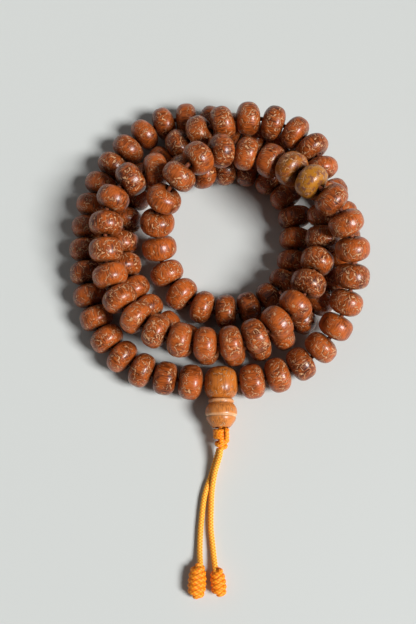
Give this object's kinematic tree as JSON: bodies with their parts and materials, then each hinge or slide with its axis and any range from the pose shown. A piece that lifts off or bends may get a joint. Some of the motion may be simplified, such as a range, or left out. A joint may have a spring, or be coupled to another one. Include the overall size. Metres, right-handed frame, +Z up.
{
  "type": "mala prayer beads",
  "caption": "Prayer bead strand laid in loops: barrel seed beads on a cord, a guru bead with a cap bead, a collar knot, and braided tails with end knots.",
  "frame": {"origin": "on the surface that the mala lies on, under the middle of the box round the bead strand, the guru bead and the cap bead", "axes": "+Z up from the surface, +Y from the tails towards the far side of the loops, +X to the right when the tails point towards the viewer"},
  "size_m": [0.084, 0.1409, 0.0283],
  "materials": {
    "bead_seed": "polished satin seed, red-brown, with fine pale squiggles",
    "guru_seed": "polished satin seed, orange-brown",
    "cap_seed": "polished satin, light orange-brown, with pale grooves",
    "cord_nylon": "braided nylon, bright orange"
  },
  "bodies": {
    "strand": {"bead_string": "cord_nylon", "guru_bead": "guru_seed", "bead_run_001_008": "bead_seed", "bead_run_009_017": "bead_seed", "bead_run_018_025": "bead_seed", "bead_run_026_033": "bead_seed", "bead_run_034_041": "bead_seed", "bead_run_052_055": "bead_seed", "bead_run_075_084": "bead_seed", "bead_run_085_093": "bead_seed", "collar_knot": "cord_nylon", "end_knot_left": "cord_nylon", "end_knot_right": "cord_nylon", "tail_left": "cord_nylon", "tail_right": "cord_nylon"},
    "bead_042": {"bead_042": "bead_seed"},
    "bead_043": {"bead_043": "bead_seed"},
    "bead_044": {"bead_044": "bead_seed"},
    "bead_045": {"bead_045": "bead_seed"},
    "bead_046": {"bead_046": "bead_seed"},
    "bead_047": {"bead_047": "bead_seed"},
    "bead_048": {"bead_048": "bead_seed"},
    "bead_049": {"bead_049": "bead_seed"},
    "bead_050": {"bead_050": "bead_seed"},
    "bead_051": {"bead_051": "bead_seed"},
    "bead_056": {"bead_056": "bead_seed"},
    "bead_057": {"bead_057": "bead_seed"},
    "bead_058": {"bead_058": "bead_seed"},
    "bead_059": {"bead_059": "bead_seed"},
    "bead_060": {"bead_060": "bead_seed"},
    "bead_061": {"bead_061": "bead_seed"},
    "bead_062": {"bead_062": "bead_seed"},
    "bead_063": {"bead_063": "bead_seed"},
    "bead_064": {"bead_064": "bead_seed"},
    "bead_065": {"bead_065": "bead_seed"},
    "bead_066": {"bead_066": "bead_seed"},
    "bead_067": {"bead_067": "bead_seed"},
    "bead_068": {"bead_068": "bead_seed"},
    "bead_069": {"bead_069": "bead_seed"},
    "bead_070": {"bead_070": "bead_seed"},
    "bead_071": {"bead_071": "bead_seed"},
    "bead_072": {"bead_072": "bead_seed"},
    "bead_073": {"bead_073": "bead_seed"},
    "bead_074": {"bead_074": "bead_seed"},
    "bead_094": {"bead_094": "bead_seed"},
    "bead_095": {"bead_095": "bead_seed"},
    "bead_096": {"bead_096": "bead_seed"},
    "bead_097": {"bead_097": "bead_seed"},
    "bead_098": {"bead_098": "bead_seed"},
    "bead_099": {"bead_099": "bead_seed"},
    "bead_100": {"bead_100": "bead_seed"},
    "bead_101": {"bead_101": "bead_seed"},
    "bead_102": {"bead_102": "bead_seed"},
    "bead_103": {"bead_103": "bead_seed"},
    "bead_104": {"bead_104": "bead_seed"},
    "bead_105": {"bead_105": "bead_seed"},
    "bead_106": {"bead_106": "bead_seed"},
    "bead_107": {"bead_107": "bead_seed"},
    "bead_108": {"bead_108": "bead_seed"},
    "guru_cap": {"guru_cap": "cap_seed"}
  },
  "joints": [
    {"name": "bead_042_spin", "type": "hinge", "parent": "strand", "child": "bead_042", "pos_m": [-0.02363, 0.01861, 0.00486], "axis": [0.3923, 0.9116, 0.1226], "continuous": true},
    {"name": "bead_043_spin", "type": "hinge", "parent": "strand", "child": "bead_043", "pos_m": [-0.02004, 0.02457, 0.00484], "axis": [0.621, 0.7733, -0.1277], "continuous": true},
    {"name": "bead_044_spin", "type": "hinge", "parent": "strand", "child": "bead_044", "pos_m": [-0.01522, 0.02956, 0.00533], "axis": [0.7326, 0.6285, 0.2612], "continuous": true},
    {"name": "bead_045_spin", "type": "hinge", "parent": "strand", "child": "bead_045", "pos_m": [-0.01019, 0.03334, 0.00852], "axis": [0.6618, 0.4203, 0.6208], "continuous": true},
    {"name": "bead_046_spin", "type": "hinge", "parent": "strand", "child": "bead_046", "pos_m": [-0.00467, 0.03566, 0.01244], "axis": [0.8608, 0.2172, 0.4603], "continuous": true},
    {"name": "bead_047_spin", "type": "hinge", "parent": "strand", "child": "bead_047", "pos_m": [0.00192, 0.03745, 0.01461], "axis": [0.9512, 0.2758, 0.1384], "continuous": true},
    {"name": "bead_048_spin", "type": "hinge", "parent": "strand", "child": "bead_048", "pos_m": [0.00909, 0.03852, 0.01497], "axis": [0.9991, 0.0153, -0.04], "continuous": true},
    {"name": "bead_049_spin", "type": "hinge", "parent": "strand", "child": "bead_049", "pos_m": [0.01617, 0.03752, 0.01457], "axis": [0.9524, -0.2961, -0.0729], "continuous": true},
    {"name": "bead_050_spin", "type": "hinge", "parent": "strand", "child": "bead_050", "pos_m": [0.02236, 0.03446, 0.01454], "axis": [0.8101, -0.5825, 0.0672], "continuous": true},
    {"name": "bead_051_spin", "type": "hinge", "parent": "strand", "child": "bead_051", "pos_m": [0.02698, 0.02957, 0.01505], "axis": [0.5352, -0.8406, 0.0828], "continuous": true},
    {"name": "bead_056_spin", "type": "hinge", "parent": "strand", "child": "bead_056", "pos_m": [0.0278, -0.00317, 0.01334], "axis": [-0.3617, -0.9111, 0.1979], "continuous": true},
    {"name": "bead_057_spin", "type": "hinge", "parent": "strand", "child": "bead_057", "pos_m": [0.02511, -0.00984, 0.01441], "axis": [-0.3775, -0.9211, 0.0954], "continuous": true},
    {"name": "bead_058_spin", "type": "hinge", "parent": "strand", "child": "bead_058", "pos_m": [0.02141, -0.016, 0.01482], "axis": [-0.64, -0.7682, 0.0189], "continuous": true},
    {"name": "bead_059_spin", "type": "hinge", "parent": "strand", "child": "bead_059", "pos_m": [0.01637, -0.02101, 0.01513], "axis": [-0.7719, -0.6323, 0.0662], "continuous": true},
    {"name": "bead_060_spin", "type": "hinge", "parent": "strand", "child": "bead_060", "pos_m": [0.0104, -0.0247, 0.01529], "axis": [-0.9119, -0.41, -0.0204], "continuous": true},
    {"name": "bead_061_spin", "type": "hinge", "parent": "strand", "child": "bead_061", "pos_m": [0.00377, -0.02664, 0.01525], "axis": [-0.99, -0.1408, 0.0101], "continuous": true},
    {"name": "bead_062_spin", "type": "hinge", "parent": "strand", "child": "bead_062", "pos_m": [-0.00307, -0.02686, 0.01522], "axis": [-0.9969, 0.076, -0.0198], "continuous": true},
    {"name": "bead_063_spin", "type": "hinge", "parent": "strand", "child": "bead_063", "pos_m": [-0.00986, -0.02569, 0.01503], "axis": [-0.9648, 0.2608, -0.0339], "continuous": true},
    {"name": "bead_064_spin", "type": "hinge", "parent": "strand", "child": "bead_064", "pos_m": [-0.01626, -0.02314, 0.01458], "axis": [-0.8755, 0.4734, -0.0965], "continuous": true},
    {"name": "bead_065_spin", "type": "hinge", "parent": "strand", "child": "bead_065", "pos_m": [-0.02192, -0.01917, 0.01391], "axis": [-0.7451, 0.6602, -0.095], "continuous": true},
    {"name": "bead_066_spin", "type": "hinge", "parent": "strand", "child": "bead_066", "pos_m": [-0.0264, -0.01377, 0.0134], "axis": [-0.5144, 0.8561, -0.0503], "continuous": true},
    {"name": "bead_067_spin", "type": "hinge", "parent": "strand", "child": "bead_067", "pos_m": [-0.02918, -0.00724, 0.01348], "axis": [-0.2603, 0.9626, 0.0748], "continuous": true},
    {"name": "bead_068_spin", "type": "hinge", "parent": "strand", "child": "bead_068", "pos_m": [-0.03037, -0.00018, 0.01428], "axis": [-0.0699, 0.9869, 0.1451], "continuous": true},
    {"name": "bead_069_spin", "type": "hinge", "parent": "strand", "child": "bead_069", "pos_m": [-0.03048, 0.00723, 0.01495], "axis": [0.0376, 0.9986, 0.0368], "continuous": true},
    {"name": "bead_070_spin", "type": "hinge", "parent": "strand", "child": "bead_070", "pos_m": [-0.02865, 0.01444, 0.0153], "axis": [0.4422, 0.8952, 0.0553], "continuous": true},
    {"name": "bead_071_spin", "type": "hinge", "parent": "strand", "child": "bead_071", "pos_m": [-0.02387, 0.02013, 0.01539], "axis": [0.8056, 0.5916, -0.0324], "continuous": true},
    {"name": "bead_072_spin", "type": "hinge", "parent": "strand", "child": "bead_072", "pos_m": [-0.01701, 0.02304, 0.01462], "axis": [0.9724, 0.1637, -0.1661], "continuous": true},
    {"name": "bead_073_spin", "type": "hinge", "parent": "strand", "child": "bead_073", "pos_m": [-0.01005, 0.02362, 0.01207], "axis": [0.8577, -0.0152, -0.514], "continuous": true},
    {"name": "bead_074_spin", "type": "hinge", "parent": "strand", "child": "bead_074", "pos_m": [-0.00409, 0.02495, 0.0082], "axis": [0.7567, 0.3792, -0.5326], "continuous": true},
    {"name": "bead_094_spin", "type": "hinge", "parent": "strand", "child": "bead_094", "pos_m": [0.0013, 0.02718, 0.01875], "axis": [0.8947, 0.1915, -0.4035], "continuous": true},
    {"name": "bead_095_spin", "type": "hinge", "parent": "strand", "child": "bead_095", "pos_m": [0.0083, 0.02713, 0.01677], "axis": [0.9708, -0.2071, -0.1213], "continuous": true},
    {"name": "bead_096_spin", "type": "hinge", "parent": "strand", "child": "bead_096", "pos_m": [0.01519, 0.02476, 0.01739], "axis": [0.8617, -0.4222, 0.2814], "continuous": true},
    {"name": "bead_097_spin", "type": "hinge", "parent": "strand", "child": "bead_097", "pos_m": [0.02075, 0.02103, 0.02057], "axis": [0.6059, -0.5631, 0.5619], "continuous": true},
    {"name": "bead_098_spin", "type": "hinge", "parent": "strand", "child": "bead_098", "pos_m": [0.02567, 0.01634, 0.02343], "axis": [0.7028, -0.6831, 0.1986], "continuous": true},
    {"name": "bead_099_spin", "type": "hinge", "parent": "strand", "child": "bead_099", "pos_m": [0.0309, 0.01106, 0.02341], "axis": [0.6754, -0.7093, -0.2019], "continuous": true},
    {"name": "bead_100_spin", "type": "hinge", "parent": "strand", "child": "bead_100", "pos_m": [0.035, 0.00523, 0.0212], "axis": [0.4037, -0.8313, -0.3821], "continuous": true},
    {"name": "bead_101_spin", "type": "hinge", "parent": "strand", "child": "bead_101", "pos_m": [0.03691, -0.00121, 0.01814], "axis": [0.1064, -0.8924, -0.4384], "continuous": true},
    {"name": "bead_102_spin", "type": "hinge", "parent": "strand", "child": "bead_102", "pos_m": [0.03697, -0.00798, 0.01508], "axis": [-0.0909, -0.92, -0.3812], "continuous": true},
    {"name": "bead_103_spin", "type": "hinge", "parent": "strand", "child": "bead_103", "pos_m": [0.03553, -0.01462, 0.01228], "axis": [-0.3005, -0.8765, -0.3762], "continuous": true},
    {"name": "bead_104_spin", "type": "hinge", "parent": "strand", "child": "bead_104", "pos_m": [0.03282, -0.02073, 0.00962], "axis": [-0.4521, -0.816, -0.3603], "continuous": true},
    {"name": "bead_105_spin", "type": "hinge", "parent": "strand", "child": "bead_105", "pos_m": [0.0288, -0.02612, 0.0073], "axis": [-0.6665, -0.6883, -0.2864], "continuous": true},
    {"name": "bead_106_spin", "type": "hinge", "parent": "strand", "child": "bead_106", "pos_m": [0.02337, -0.03049, 0.00576], "axis": [-0.8406, -0.5226, -0.1426], "continuous": true},
    {"name": "bead_107_spin", "type": "hinge", "parent": "strand", "child": "bead_107", "pos_m": [0.01694, -0.03349, 0.00513], "axis": [-0.9492, -0.3131, -0.0327], "continuous": true},
    {"name": "bead_108_spin", "type": "hinge", "parent": "strand", "child": "bead_108", "pos_m": [0.00993, -0.03518, 0.00481], "axis": [-0.9864, -0.1542, -0.056], "continuous": true},
    {"name": "guru_cap_spin", "type": "hinge", "parent": "strand", "child": "guru_cap", "pos_m": [0.00131, -0.04014, 0.0046], "axis": [0, 1, 0], "continuous": true}
  ]
}
